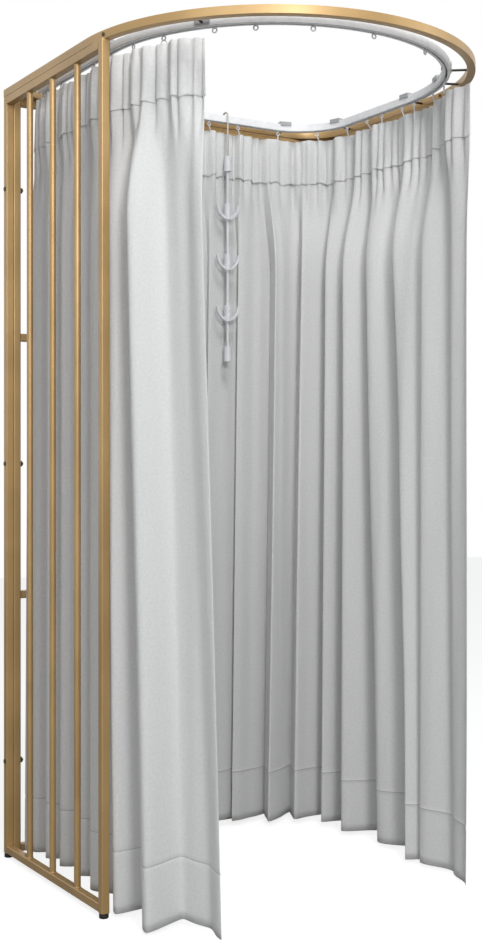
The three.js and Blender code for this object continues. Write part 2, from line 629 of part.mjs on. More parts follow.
// Both faces of the cloth at one level: the middle line moved half the cloth to each side
function clothFaces(line) {
  return line.map((point, i) => {
    const before = line[Math.max(i - 1, 0)];
    const after = line[Math.min(i + 1, line.length - 1)];
    const run = Math.hypot(after.x - before.x, after.y - before.y);
    const across = {
      x: -(after.y - before.y) / run * CLOTH / 2,
      y: (after.x - before.x) / run * CLOTH / 2,
    };
    return [
      { x: point.x + across.x, y: point.y + across.y },
      { x: point.x - across.x, y: point.y - across.y },
    ];
  });
}

function hemHeights(folds) {
  const heights = [];
  for (let i = 0; i + 1 < folds.length; i += 1) {
    for (let k = 0; k < STEPS_PER_FOLD; k += 1) {
      heights.push(THREE.MathUtils.lerp(folds[i][4], folds[i + 1][4], k / STEPS_PER_FOLD));
    }
  }
  heights.push(folds[folds.length - 1][4]);
  return heights;
}

// A hanging cloth as one closed body: rings of points round its cross-section, level by level
function curtainGeometry(folds, sign) {
  const hems = hemHeights(folds);
  const drop = CLOTH_TOP - Math.min(...hems);
  const levels = [0, HEADER / drop, WAIST_LEVEL, 1];
  const positions = [];
  const count = hems.length;
  for (const level of levels) {
    const faces = clothFaces(foldLine(folds, sign, level));
    for (const face of [0, 1]) {
      for (let i = 0; i < count; i += 1) {
        const k = face === 0 ? i : count - 1 - i;
        const point = faces[k][face];
        positions.push(point.x, point.y, THREE.MathUtils.lerp(CLOTH_TOP, hems[k], level));
      }
    }
  }
  const ring = 2 * count;
  const triangles = [];
  for (let row = 0; row + 1 < levels.length; row += 1) {
    for (let i = 0; i < ring; i += 1) {
      const a = row * ring + i;
      const b = row * ring + (i + 1) % ring;
      triangles.push(a, b, a + ring, b, b + ring, a + ring);
    }
  }
  const bottom = (levels.length - 1) * ring;
  for (let i = 0; i + 1 < count; i += 1) {
    const front = [i, i + 1];
    const back = [ring - 1 - i, ring - 2 - i];
    triangles.push(front[0], back[0], front[1], front[1], back[0], back[1]);
    triangles.push(bottom + front[0], bottom + front[1], bottom + back[0]);
    triangles.push(bottom + front[1], bottom + back[1], bottom + back[0]);
  }
  const geometry = new THREE.BufferGeometry();
  geometry.setAttribute('position', new THREE.Float32BufferAttribute(positions, 3));
  geometry.setIndex(triangles);
  return geometry;
}

function outwards(geometry) {
  const index = geometry.index.array;
  const corners = [0, 1, 2].map(() => new THREE.Vector3());
  let volume = 0;
  for (let i = 0; i < index.length; i += 3) {
    corners.forEach((corner, k) => corner.fromBufferAttribute(geometry.attributes.position, index[i + k]));
    volume += corners[0].dot(corners[1].clone().cross(corners[2]));
  }
  if (volume < 0) {
    for (let i = 0; i < index.length; i += 3) {
      [index[i], index[i + 1]] = [index[i + 1], index[i]];
    }
  }
  return geometry;
}

place('left_curtain', outwards(curtainGeometry(LEFT_FOLDS, -1)), 'cloth');
place('right_curtain', outwards(curtainGeometry(RIGHT_FOLDS, 1)), 'cloth');

// Runners, drawn with the track along X and the outside towards +Y
function runnerSolid() {
  const across = CHANNEL_WIDTH - 2 * CARRIAGE_PLAY;
  const seat = LIP_TOP + FIT;
  const carriage = block(CARRIAGE_LENGTH, across, CARRIAGE_HEIGHT, 0, 0, seat);
  const eyeHeight = TRACK_BOTTOM - EYE_DROP;
  const neckBottom = eyeHeight + EYE_RADIUS;
  const neck = block(NECK, NECK, seat + NECK_ROOT - neckBottom, 0, 0, neckBottom);
  const eye = new THREE.TorusGeometry(EYE_RADIUS, EYE_WIRE, WIRE_SIDES, 2 * WIRE_SIDES);
  return carriage.add(neck).add(solid(eye.rotateX(Math.PI / 2).translate(0, 0, eyeHeight)));
}

// A lead runner carries a ring, and a pin from the ring that holds the top of the cloth
function leadRunnerSolid() {
  const ringHeight = TRACK_BOTTOM - RING_DROP;
  const ring = new THREE.TorusGeometry(RING_RADIUS, RING_WIRE, WIRE_SIDES, ROUND_SIDES);
  const pinLength = PIN_CLOTH_OUT - CLOTH / 2 - FIT;
  const pinBottom = ringHeight - RING_RADIUS - RING_WIRE / 2;
  const pin = block(2 * RING_WIRE, pinLength, 2 * RING_WIRE, 0, pinLength / 2, pinBottom);
  return runnerSolid().add(solid(ring.rotateX(Math.PI / 2).translate(0, 0, ringHeight))).add(pin);
}

function placeOnArc(name, body, angle) {
  const x = -TRACK_RADIUS * Math.cos(angle);
  const y = ARC_Y - TRACK_RADIUS * Math.sin(angle);
  place(name, geometryOf(body), 'white', x, y, 0, angle + Math.PI / 2);
}

placeOnArc('left_lead_runner', leadRunnerSolid(), LEFT_LEAD_ALONG / TRACK_RADIUS);
placeOnArc('right_lead_runner', leadRunnerSolid(), Math.PI - RIGHT_LEAD_ALONG / TRACK_RADIUS);
SPARE_RUNNER_DEGREES.forEach((degrees, i) => {
  placeOnArc(`spare_runner_${i + 1}`, runnerSolid(), THREE.MathUtils.degToRad(degrees));
});

// Hook strip. The wire hook rests on the two top edges of the track.
const trackBackY = BACK_Y - TRACK_INSET;
const hookRadius = Math.hypot(TRACK_WIDTH / 2, HOOK_SEAT_DROP) + FIT + HOOK_WIRE / 2;
const STRIP_Y = trackBackY - hookRadius;
const ballSeat = BALL_DIAMETER / 2 + FIT;
const BALL_Z = BELL_TOP - BELL_LIP - Math.sqrt(ballSeat ** 2 - (BELL_MOUTH / 2) ** 2);

// A wire's middle line through points, with one straight step between each two
class WirePath extends THREE.Curve {
  constructor(points) {
    super();
    this.points = points;
  }

  getPointAt(share) {
    const place = share * (this.points.length - 1);
    const i = Math.min(Math.floor(place), this.points.length - 2);
    return this.points[i].clone().lerp(this.points[i + 1], place - i);
  }

  getTangentAt(share) {
    const i = Math.round(share * (this.points.length - 1));
    const before = this.points[Math.max(i - 1, 0)];
    const after = this.points[Math.min(i + 1, this.points.length - 1)];
    const into = this.points[i].clone().sub(before).normalize();
    const out = after.clone().sub(this.points[i]).normalize();
    return into.add(out).normalize();
  }
}

function wireHookGeometry() {
  const middle = HEIGHT - HOOK_SEAT_DROP;
  const points = [new THREE.Vector3(0, 0, BALL_Z)];
  for (let i = 0; i <= HOOK_STEPS; i += 1) {
    const angle = Math.PI - Math.PI * i / HOOK_STEPS;
    points.push(new THREE.Vector3(0, hookRadius * (1 + Math.cos(angle)), middle + hookRadius * Math.sin(angle)));
  }
  const section = new THREE.Shape().absarc(0, 0, HOOK_WIRE / 2, 0, 2 * Math.PI, false);
  const settings = { steps: points.length - 1, extrudePath: new WirePath(points), curveSegments: WIRE_SIDES };
  const ball = new THREE.SphereGeometry(BALL_DIAMETER / 2, SMALL_SIDES, BALL_RINGS).translate(0, 0, BALL_Z);
  return geometryOf(solid(new THREE.ExtrudeGeometry(section, settings)).add(solid(ball)));
}

// The strip: a cap with a hollow for the hook's ball, the cord, and a weight at its foot
function stripGeometry() {
  const weightBottom = WEIGHT_TOP - BELL_LENGTH;
  let body = upright(BELL_DIAMETER, BELL_LENGTH, 0, 0, BELL_TOP - BELL_LENGTH);
  body = body.subtract(upright(BELL_MOUTH, BELL_LIP + 2 * CUT_PAST, 0, 0, BELL_TOP - BELL_LIP - CUT_PAST));
  body = body.subtract(upright(BELL_HOLLOW, BELL_HOLLOW, 0, 0, BELL_TOP - BELL_LIP - BELL_HOLLOW));
  const cordTop = BELL_TOP - BELL_LENGTH + CUT_PAST;
  const cordLength = cordTop - WEIGHT_TOP + CUT_PAST;
  body = body.add(upright(STRIP_DIAMETER, cordLength, 0, 0, WEIGHT_TOP - CUT_PAST, SMALL_SIDES));
  body = body.add(upright(BELL_DIAMETER, BELL_LENGTH, 0, 0, weightBottom));
  for (const drop of Object.values(ANCHOR_DROPS)) {
    body = body.add(upright(COLLAR_DIAMETER, COLLAR_HEIGHT, 0, 0, HEIGHT - drop - FIT - COLLAR_HEIGHT));
  }
  return geometryOf(body);
}

// Double hook: a sleeve that turns on the strip, and a crescent of two arms with raised tips
function anchorGeometry() {
  const inner = ANCHOR_RADIUS - ANCHOR_TIP;
  const innerDrop = ANCHOR_THICKNESS - ANCHOR_TIP;
  const points = [];
  for (let i = 0; i <= CRESCENT_STEPS; i += 1) {
    const angle = Math.PI * (1 + i / CRESCENT_STEPS);
    points.push([ANCHOR_RADIUS * Math.cos(angle), ANCHOR_RADIUS * Math.sin(angle)]);
  }
  points.push([ANCHOR_RADIUS, ANCHOR_RISE], [ANCHOR_RADIUS - ANCHOR_TIP / 2, ANCHOR_RISE + ANCHOR_TIP / 2]);
  points.push([inner, ANCHOR_RISE]);
  for (let i = CRESCENT_STEPS; i >= 0; i -= 1) {
    const angle = Math.PI * (1 + i / CRESCENT_STEPS);
    points.push([inner * Math.cos(angle), innerDrop + inner * Math.sin(angle)]);
  }
  points.push([-inner, ANCHOR_RISE], [-ANCHOR_RADIUS + ANCHOR_TIP / 2, ANCHOR_RISE + ANCHOR_TIP / 2]);
  points.push([-ANCHOR_RADIUS, ANCHOR_RISE]);
  const outline = new THREE.Shape(points.map(([x, y]) => new THREE.Vector2(x, y)));
  const arms = new THREE.ExtrudeGeometry(outline, {
    depth: ANCHOR_DEPTH - 2 * ANCHOR_EDGE,
    bevelThickness: ANCHOR_EDGE,
    bevelSize: ANCHOR_EDGE,
    bevelOffset: -ANCHOR_EDGE,
    bevelSegments: 1,
  });
  arms.translate(0, 0, ANCHOR_EDGE - ANCHOR_DEPTH / 2).rotateX(Math.PI / 2).translate(0, 0, ANCHOR_RADIUS);
  const boreLength = SLEEVE_HEIGHT + 2 * CUT_PAST;
  const bore = upright(STRIP_DIAMETER + 2 * FIT, boreLength, 0, 0, -CUT_PAST, SMALL_SIDES);
  const sleeve = upright(SLEEVE_DIAMETER, SLEEVE_HEIGHT, 0, 0, 0);
  return geometryOf(solid(arms).add(sleeve).subtract(bore));
}

place('strip_hook', wireHookGeometry(), 'steel', STRIP_X, STRIP_Y);
place('hook_strip', stripGeometry(), 'white', STRIP_X, STRIP_Y);
for (const [level, drop] of Object.entries(ANCHOR_DROPS)) {
  place(`${level}_double_hook`, anchorGeometry(), 'white', STRIP_X, STRIP_Y, HEIGHT - drop);
}

export default room;
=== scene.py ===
import math
import random

import bmesh
import bpy
from mathutils import Matrix, Vector


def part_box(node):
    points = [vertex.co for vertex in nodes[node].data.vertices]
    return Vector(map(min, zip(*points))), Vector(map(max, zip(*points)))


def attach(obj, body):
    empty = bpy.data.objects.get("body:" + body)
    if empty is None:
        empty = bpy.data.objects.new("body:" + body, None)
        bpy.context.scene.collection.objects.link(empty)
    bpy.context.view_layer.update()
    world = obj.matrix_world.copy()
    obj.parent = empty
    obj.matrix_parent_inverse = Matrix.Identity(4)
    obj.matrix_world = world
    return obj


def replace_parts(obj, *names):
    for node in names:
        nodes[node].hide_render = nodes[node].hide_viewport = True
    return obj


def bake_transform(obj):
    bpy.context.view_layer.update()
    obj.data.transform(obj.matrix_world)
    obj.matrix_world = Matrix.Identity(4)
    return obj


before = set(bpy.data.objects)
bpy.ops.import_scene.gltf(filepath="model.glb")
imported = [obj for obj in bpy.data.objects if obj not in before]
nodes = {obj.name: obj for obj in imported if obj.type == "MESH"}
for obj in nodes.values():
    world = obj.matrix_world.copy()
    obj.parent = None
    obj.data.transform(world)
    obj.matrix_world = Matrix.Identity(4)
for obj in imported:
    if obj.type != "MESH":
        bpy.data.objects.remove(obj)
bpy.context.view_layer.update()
scene = bpy.context.scene
scene.view_settings.view_transform = "Standard"

# Camera: stands at chest height in front of the left side, and looks level past the doorway
# to the right back corner, as the photograph does.
camera_data = bpy.data.cameras.new("camera")
camera_data.sensor_fit = "VERTICAL"
camera_data.sensor_height = 36.0
camera_data.lens = 52.74
camera_data.shift_y = -0.0031
camera = bpy.data.objects.new("camera", camera_data)
camera.location = (-1.8462, -2.8889, 1.0161)
camera.rotation_euler = (math.radians(90), 0, math.radians(-31.36))
scene.collection.objects.link(camera)
scene.camera = camera

# Studio: a pale floor, a white room that camera, metal and glass see, and five soft lights.
# Three stand in front and to the left, one hangs above the hoop, and one fills from the right.
world = bpy.data.worlds.new("studio")
scene.world = world
world.use_nodes = True
links = world.node_tree.links
background = world.node_tree.nodes["Background"]
background.inputs["Color"].default_value = (0.93, 0.96, 1.0, 1)
background.inputs["Strength"].default_value = 0.28
seen_white = world.node_tree.nodes.new("ShaderNodeBackground")
seen_white.inputs["Color"].default_value = (1, 1, 1, 1)
seen_white.inputs["Strength"].default_value = 1.0
ray = world.node_tree.nodes.new("ShaderNodeLightPath")
camera_or_glossy = world.node_tree.nodes.new("ShaderNodeMath")
camera_or_glossy.operation = "MAXIMUM"
links.new(ray.outputs["Is Camera Ray"], camera_or_glossy.inputs[0])
links.new(ray.outputs["Is Glossy Ray"], camera_or_glossy.inputs[1])
seen = world.node_tree.nodes.new("ShaderNodeMath")
seen.operation = "MAXIMUM"
links.new(camera_or_glossy.outputs[0], seen.inputs[0])
links.new(ray.outputs["Is Transmission Ray"], seen.inputs[1])
choose = world.node_tree.nodes.new("ShaderNodeMixShader")
links.new(seen.outputs[0], choose.inputs["Fac"])
links.new(background.outputs[0], choose.inputs[1])
links.new(seen_white.outputs[0], choose.inputs[2])
links.new(choose.outputs[0], world.node_tree.nodes["World Output"].inputs["Surface"])


def soft_light(name, place, aim, size, energy):
    data = bpy.data.lights.new(name, "AREA")
    data.shape = "DISK"
    data.size = size
    data.energy = energy
    light = bpy.data.objects.new(name, data)
    light.location = place
    light.rotation_euler = (Vector(aim) - Vector(place)).to_track_quat("-Z", "Y").to_euler()
    scene.collection.objects.link(light)


soft_light("key_light", (-2.9, -3.8, 2.8), (0, 0, 1.1), 1.6, 28)
soft_light("side_light", (-4.2, -2.4, 2.8), (0, 0, 1.1), 2.0, 22)
soft_light("doorway_light", (-1.6, -4.4, 2.7), (0, 0, 1.1), 1.0, 82)
soft_light("top_light", (-0.5, -1.6, 4.4), (0.1, 0.4, 1.4), 1.2, 56)
soft_light("fill_light", (3.4, -2.6, 2.2), (0, 0, 1.1), 2.5, 28)

floor_mesh = bpy.data.meshes.new("floor")
sides = bmesh.new()
bmesh.ops.create_grid(sides, x_segments=1, y_segments=1, size=9.0)
sides.to_mesh(floor_mesh)
sides.free()
floor = bpy.data.objects.new("floor", floor_mesh)
scene.collection.objects.link(floor)
floor_paint = bpy.data.materials.new("floor_paint")
floor_paint.use_nodes = True
paint_nodes = floor_paint.node_tree.nodes
paint_links = floor_paint.node_tree.links
paint = paint_nodes["Principled BSDF"]
paint.inputs["Base Color"].default_value = (0.42, 0.42, 0.42, 1)
paint.inputs["Roughness"].default_value = 0.9
paint.inputs["Specular IOR Level"].default_value = 0.0
glow = paint_nodes.new("ShaderNodeEmission")
glow.inputs["Strength"].default_value = 0.78
floor_ray = paint_nodes.new("ShaderNodeLightPath")
glow_for_camera = paint_nodes.new("ShaderNodeMixShader")
dark = paint_nodes.new("ShaderNodeEmission")
dark.inputs["Strength"].default_value = 0.0
paint_links.new(floor_ray.outputs["Is Camera Ray"], glow_for_camera.inputs["Fac"])
paint_links.new(dark.outputs[0], glow_for_camera.inputs[1])
paint_links.new(glow.outputs[0], glow_for_camera.inputs[2])
floor_sum = paint_nodes.new("ShaderNodeAddShader")
paint_links.new(paint.outputs[0], floor_sum.inputs[0])
paint_links.new(glow_for_camera.outputs[0], floor_sum.inputs[1])
paint_links.new(floor_sum.outputs[0], paint_nodes["Material Output"].inputs["Surface"])
floor_mesh.materials.append(floor_paint)


# Frame of square steel tube, 20 mm with softly rounded edges, painted a satin gold. The side
# panels and the back panel are each welded up from posts and rails, cut square.
def gold_paint():
    paint = bpy.data.materials.new("satin_gold_paint")
    paint.use_nodes = True
    tree = paint.node_tree
    shader = tree.nodes["Principled BSDF"]
    shader.inputs["Metallic"].default_value = 0.4
    shader.inputs["Coat Weight"].default_value = 0.2
    shader.inputs["Coat Roughness"].default_value = 0.3
    place = tree.nodes.new("ShaderNodeTexCoord")
    cloudy = tree.nodes.new("ShaderNodeTexNoise")
    cloudy.inputs["Scale"].default_value = 6.0
    cloudy.inputs["Detail"].default_value = 3.0
    tree.links.new(place.outputs["Object"], cloudy.inputs["Vector"])
    tint = tree.nodes.new("ShaderNodeValToRGB")
    tint.color_ramp.elements[0].position = 0.35
    tint.color_ramp.elements[0].color = (0.43, 0.275, 0.112, 1)
    tint.color_ramp.elements[1].position = 0.7
    tint.color_ramp.elements[1].color = (0.53, 0.345, 0.148, 1)
    tree.links.new(cloudy.outputs["Fac"], tint.inputs["Fac"])
    tree.links.new(tint.outputs["Color"], shader.inputs["Base Color"])
    grain = tree.nodes.new("ShaderNodeTexNoise")
    grain.inputs["Scale"].default_value = 900.0
    grain.inputs["Detail"].default_value = 2.0
    tree.links.new(place.outputs["Object"], grain.inputs["Vector"])
    satin = tree.nodes.new("ShaderNodeMapRange")
    satin.inputs["To Min"].default_value = 0.36
    satin.inputs["To Max"].default_value = 0.48
    tree.links.new(grain.outputs["Fac"], satin.inputs["Value"])
    tree.links.new(satin.outputs["Result"], shader.inputs["Roughness"])
    bump = tree.nodes.new("ShaderNodeBump")
    bump.inputs["Strength"].default_value = 0.25
    bump.inputs["Distance"].default_value = 0.0002
    tree.links.new(grain.outputs["Fac"], bump.inputs["Height"])
    tree.links.new(bump.outputs["Normal"], shader.inputs["Normal"])
    return paint


def finish_piece(name, mesh_data, material, body, hard_angle=35):
    """Makes the piece from its bmesh: smooth but for its hard edges, painted, and riding."""
    bmesh.ops.remove_doubles(mesh_data, verts=mesh_data.verts, dist=1e-6)
    bmesh.ops.recalc_face_normals(mesh_data, faces=mesh_data.faces)
    for face in mesh_data.faces:
        face.smooth = True
    for edge in mesh_data.edges:
        if len(edge.link_faces) != 2 or edge.calc_face_angle(0.0) > math.radians(hard_angle):
            edge.smooth = False
    mesh = bpy.data.meshes.new(name)
    mesh_data.to_mesh(mesh)
    mesh_data.free()
    piece = bpy.data.objects.new(name, mesh)
    scene.collection.objects.link(piece)
    mesh.materials.append(material)
    weighted = piece.modifiers.new("even_normals", "WEIGHTED_NORMAL")
    weighted.keep_sharp = True
    if body:
        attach(piece, body)
    return piece


gold = gold_paint()
TUBE_EDGE = 0.0026
TOP_RAIL_EDGE = 0.0009
SHORTEST_TUBE = 0.03


def square_tube(node, edge=TUBE_EDGE, half_length=None):
    """A straight square tube where the node is, cut shorter where spigots reach beyond it."""
    low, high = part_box(node)
    if half_length:
        low.x, high.x = -half_length, half_length
    bm = bmesh.new()
    bmesh.ops.create_cube(bm, size=1.0)
    size = high - low
    bmesh.ops.scale(bm, vec=size, verts=bm.verts)
    bmesh.ops.translate(bm, vec=(low + high) / 2, verts=bm.verts)
    longest = max(range(3), key=lambda i: size[i])
    along = [e for e in bm.edges if abs((e.verts[0].co - e.verts[1].co)[longest]) > SHORTEST_TUBE]
    bmesh.ops.bevel(
        bm, geom=along, offset=edge, offset_type="OFFSET", affect="EDGES",
        segments=4, profile=0.5, material=-1,
    )
    tube = finish_piece(f"{node}_tube", bm, gold, "frame", 50)
    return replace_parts(tube, node)


for side in ("left", "right"):
    for part in ("rear_post", "front_post", "bottom_rail"):
        square_tube(f"{side}_{part}")
    square_tube(f"{side}_top_rail", TOP_RAIL_EDGE)
for part in ("left_post", "right_post", "top_rail", "upper_rail", "lower_rail", "bottom_rail"):
    square_tube(f"back_{part}")

# Bars of 16 mm round tube, three in each side panel, butted between the rails. A small bead of
# weld runs round each end and is ground nearly flush before painting.
BEAD = 0.0012
for side in ("left", "right"):
    for number in (1, 2, 3):
        node = f"{side}_bar_{number}"
        low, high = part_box(node)
        middle = (low + high) / 2
        radius = (high.x - low.x) / 2
        bm = bmesh.new()
        outline = [
            (0.0, low.z), (radius + BEAD, low.z), (radius + 0.5 * BEAD, low.z + 0.7 * BEAD),
            (radius, low.z + 2.2 * BEAD), (radius, high.z - 2.2 * BEAD),
            (radius + 0.5 * BEAD, high.z - 0.7 * BEAD), (radius + BEAD, high.z), (0.0, high.z),
        ]
        corners = [bm.verts.new((middle.x + r, middle.y, z)) for r, z in outline]
        wires = [bm.edges.new(pair) for pair in zip(corners, corners[1:])]
        bmesh.ops.spin(
            bm, geom=corners + wires, cent=(middle.x, middle.y, 0), axis=(0, 0, 1),
            angle=math.tau, steps=32, use_merge=True,
        )
        bar = finish_piece(f"{node}_tube", bm, gold, "frame", 60)
        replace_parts(bar, node)

# Ring of the same square tube on top of the panels: two side sections, each with a mitred back
# corner and a bent brace inside it, a straight back, and the bent half-round front.
RING_MIDDLE = 0.495
RING_Z = 1.99
RING_REAR = 0.492
ARC_Y = 0.002
ARC_RADIUS = 0.505
TUBE_SIZE = 0.02
RING_EDGE = 0.0012
STUB_END = 0.345
BRACE_RADIUS = 0.13
BRACE_TUBE = 0.0196
PANEL_REACH = 0.09
FIT = 0.0003


def square_section(bm, x, y, z, size, turn=0.0):
    """A standing square face with rounded corners, seen along Y, or turned round from there."""
    bmesh.ops.create_grid(bm, x_segments=1, y_segments=1, size=size / 2)
    bmesh.ops.bevel(
        bm, geom=bm.verts[:], offset=RING_EDGE, offset_type="OFFSET", affect="VERTICES",
        segments=3, profile=0.5, material=-1,
    )
    bmesh.ops.rotate(bm, cent=(0, 0, 0), matrix=Matrix.Rotation(math.pi / 2, 3, "X"), verts=bm.verts)
    bmesh.ops.rotate(bm, cent=(0, 0, 0), matrix=Matrix.Rotation(turn, 3, "Z"), verts=bm.verts)
    bmesh.ops.translate(bm, vec=(x, y, z), verts=bm.verts)
    return bm.faces[:]


def pull(bm, faces, reach):
    """Draws an end face out in a straight line, and gives back the new end."""
    drawn = bmesh.ops.extrude_face_region(bm, geom=faces)["geom"]
    moved = [part for part in drawn if isinstance(part, bmesh.types.BMVert)]
    bmesh.ops.translate(bm, vec=reach, verts=moved)
    return [part for part in drawn if isinstance(part, bmesh.types.BMFace)]


def bend(bm, faces, centre, angle, steps):
    """Draws an end face round an upright axis, and gives back the new end."""
    turned = bmesh.ops.spin(
        bm, geom=faces, cent=(centre[0], centre[1], 0), axis=(0, 0, 1), angle=angle, steps=steps,
    )["geom_last"]
    return [part for part in turned if isinstance(part, bmesh.types.BMFace)]


def shift_corners(faces, move):
    """Moves each corner of an end face by its own amount, as a mitre saw would cut it."""
    for corner in {v for face in faces for v in face.verts}:
        corner.co += Vector(move(corner.co))


def join(whole, piece):
    """Adds a second shape to the first as it stands, and frees it."""
    mesh = bpy.data.meshes.new("part")
    piece.to_mesh(mesh)
    piece.free()
    whole.from_mesh(mesh)
    bpy.data.meshes.remove(mesh)


joint_angle = math.asin(PANEL_REACH / ARC_RADIUS)
joint_gap = FIT / ARC_RADIUS
square_tube("ring_back", RING_EDGE, STUB_END - FIT)
for side, sign in (("left", -1), ("right", 1)):
    node = f"ring_{side}"
    bm = bmesh.new()
    end = square_section(bm, sign * STUB_END, RING_REAR, RING_Z, TUBE_SIZE, math.pi / 2)
    end = pull(bm, end, (sign * (RING_MIDDLE - STUB_END), 0, 0))
    shift_corners(end, lambda place: (sign * (place.y - RING_REAR), 0, 0))
    end = pull(bm, end, (0, 0, 0))
    shift_corners(end, lambda place: (0, ARC_Y - place.y, 0))
    bend(bm, end, (0, ARC_Y), -sign * joint_angle, 6)
    brace = bmesh.new()
    brace_y = RING_REAR - BRACE_RADIUS
    end = square_section(brace, sign * RING_MIDDLE, brace_y, RING_Z, BRACE_TUBE)
    bend(brace, end, (sign * (RING_MIDDLE - BRACE_RADIUS), brace_y), sign * math.pi / 2, 20)
    join(bm, brace)
    section = finish_piece(f"{node}_tube", bm, gold, "frame", 50)
    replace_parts(section, node)

bm = bmesh.new()
end = square_section(bm, -RING_MIDDLE, ARC_Y, RING_Z, TUBE_SIZE)
bmesh.ops.rotate(
    bm, cent=(0, ARC_Y, 0), matrix=Matrix.Rotation(joint_angle + joint_gap, 3, "Z"), verts=bm.verts
)
bend(bm, end, (0, ARC_Y), math.pi - 2 * (joint_angle + joint_gap), 72)
front = finish_piece("ring_front_tube", bm, gold, "frame", 50)
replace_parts(front, "ring_front")


# Feet of near-black moulded plastic, screwed into the side panels' posts, and the bolts of
# dull zinc that hold the back panel between the side panels and the ring sections together.
def plain_finish(name, colour, roughness, metallic, grain_scale, grain_depth):
    finish = bpy.data.materials.new(name)
    finish.use_nodes = True
    tree = finish.node_tree
    shader = tree.nodes["Principled BSDF"]
    shader.inputs["Metallic"].default_value = metallic
    place = tree.nodes.new("ShaderNodeTexCoord")
    grain = tree.nodes.new("ShaderNodeTexNoise")
    grain.inputs["Scale"].default_value = grain_scale
    grain.inputs["Detail"].default_value = 3.0
    tree.links.new(place.outputs["Object"], grain.inputs["Vector"])
    tint = tree.nodes.new("ShaderNodeValToRGB")
    tint.color_ramp.elements[0].position = 0.3
    tint.color_ramp.elements[0].color = (*[0.9 * c for c in colour], 1)
    tint.color_ramp.elements[1].position = 0.75
    tint.color_ramp.elements[1].color = (*colour, 1)
    tree.links.new(grain.outputs["Fac"], tint.inputs["Fac"])
    tree.links.new(tint.outputs["Color"], shader.inputs["Base Color"])
    spread = tree.nodes.new("ShaderNodeMapRange")
    spread.inputs["To Min"].default_value = roughness - 0.06
    spread.inputs["To Max"].default_value = roughness + 0.06
    tree.links.new(grain.outputs["Fac"], spread.inputs["Value"])
    tree.links.new(spread.outputs["Result"], shader.inputs["Roughness"])
    bump = tree.nodes.new("ShaderNodeBump")
    bump.inputs["Strength"].default_value = 0.3
    bump.inputs["Distance"].default_value = grain_depth
    tree.links.new(grain.outputs["Fac"], bump.inputs["Height"])
    tree.links.new(bump.outputs["Normal"], shader.inputs["Normal"])
    return finish


foot_plastic = plain_finish("foot_plastic", (0.012, 0.011, 0.009), 0.55, 0.0, 700.0, 0.0001)
dull_zinc = plain_finish("dull_zinc", (0.09, 0.075, 0.06), 0.45, 0.8, 500.0, 0.0001)


def softened_copy(node, material, body, edge=0.0004):
    """The node's own shape with its loose triangles joined and its hard edges rounded."""
    bm = bmesh.new()
    bm.from_mesh(nodes[node].data)
    bmesh.ops.remove_doubles(bm, verts=bm.verts, dist=1e-5)
    bmesh.ops.dissolve_limit(bm, angle_limit=math.radians(1), verts=bm.verts, edges=bm.edges)
    hard = [e for e in bm.edges if len(e.link_faces) == 2 and e.calc_face_angle(0.0) > math.radians(50)]
    bmesh.ops.bevel(
        bm, geom=hard, offset=edge, offset_type="OFFSET", affect="EDGES",
        segments=2, profile=0.5, material=-1, clamp_overlap=True,
    )
    piece = finish_piece(f"{node}_finished", bm, material, body, 45)
    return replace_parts(piece, node)


for side in ("left", "right"):
    for part in ("rear_foot", "front_foot"):
        softened_copy(f"{side}_{part}", foot_plastic, f"{side}_{part}", 0.0006)
    for level in ("lower", "middle", "upper"):
        softened_copy(f"{side}_{level}_bolt", dull_zinc, "frame")
    softened_copy(f"ring_{side}_bolt", dull_zinc, "frame")

# Curtain track: one length of white C-profile with its slot underneath, bent from the left
# rear, round the front and the right back corner, to the left end of the back.
white_plastic = plain_finish("white_plastic", (0.76, 0.765, 0.79), 0.4, 0.0, 60.0, 0.0001)
# The track's white is a copy of the white plastic made brighter: painted light, standing in for the light its
# underside lacks.
track_white_with_painted_light = plain_finish("track_white_with_painted_light", (0.87, 0.875, 0.885), 0.45, 0.0, 60.0, 0.0001)
TRACK_MIDDLE = 0.435
TRACK_BOTTOM = 1.98
TRACK_CORNER = 0.155
CORNER_X = TRACK_MIDDLE - TRACK_CORNER
CORNER_Y = 0.277
BACK_Y = 0.502
HALF_WIDTH = 0.505
TRACK_END = 0.083

rail_section = [
    (-0.0025, 0.0), (-0.0025, 0.003), (-0.007, 0.003), (-0.007, 0.015), (0.007, 0.015),
    (0.007, 0.003), (0.0025, 0.003), (0.0025, 0.0), (0.0088, 0.0), (0.01, 0.0012),
    (0.01, 0.0185), (0.0085, 0.02), (-0.0085, 0.02), (-0.01, 0.0185), (-0.01, 0.0012),
    (-0.0088, 0.0),
]
bm = bmesh.new()
side_end = BACK_Y - TRACK_END
corners = [bm.verts.new((-TRACK_MIDDLE + x, side_end, TRACK_BOTTOM + z)) for x, z in rail_section]
end = [bm.faces.new(corners)]
end = pull(bm, end, (0, ARC_Y - side_end, 0))
end = bend(bm, end, (0, ARC_Y), math.pi, 96)
end = pull(bm, end, (0, CORNER_Y - ARC_Y, 0))
end = bend(bm, end, (CORNER_X, CORNER_Y), math.pi / 2, 32)
pull(bm, end, (-HALF_WIDTH + TRACK_END - CORNER_X, 0, 0))
rail = finish_piece("track_profile", bm, track_white_with_painted_light, "frame", 30)
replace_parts(rail, "track")

# Brackets of grey moulded plastic: a saddle clipped over the track, and a blackened steel arm
# that reaches from its outer skirt to the ring.
grey_plastic = plain_finish("grey_plastic", (0.40, 0.40, 0.41), 0.45, 0.0, 300.0, 0.0001)
black_steel = plain_finish("black_steel", (0.045, 0.036, 0.026), 0.4, 0.7, 500.0, 0.0001)
SADDLE_REACH = 0.0132


def out_of_track(place):
    """How far a place lies outside the middle of the track, seen from above."""
    if place.y < ARC_Y:
        return math.hypot(place.x, place.y - ARC_Y) - TRACK_MIDDLE
    if place.x > CORNER_X and place.y > CORNER_Y:
        return math.hypot(place.x - CORNER_X, place.y - CORNER_Y) - TRACK_CORNER
    return max(abs(place.x) - TRACK_MIDDLE, place.y - CORNER_Y - TRACK_CORNER)


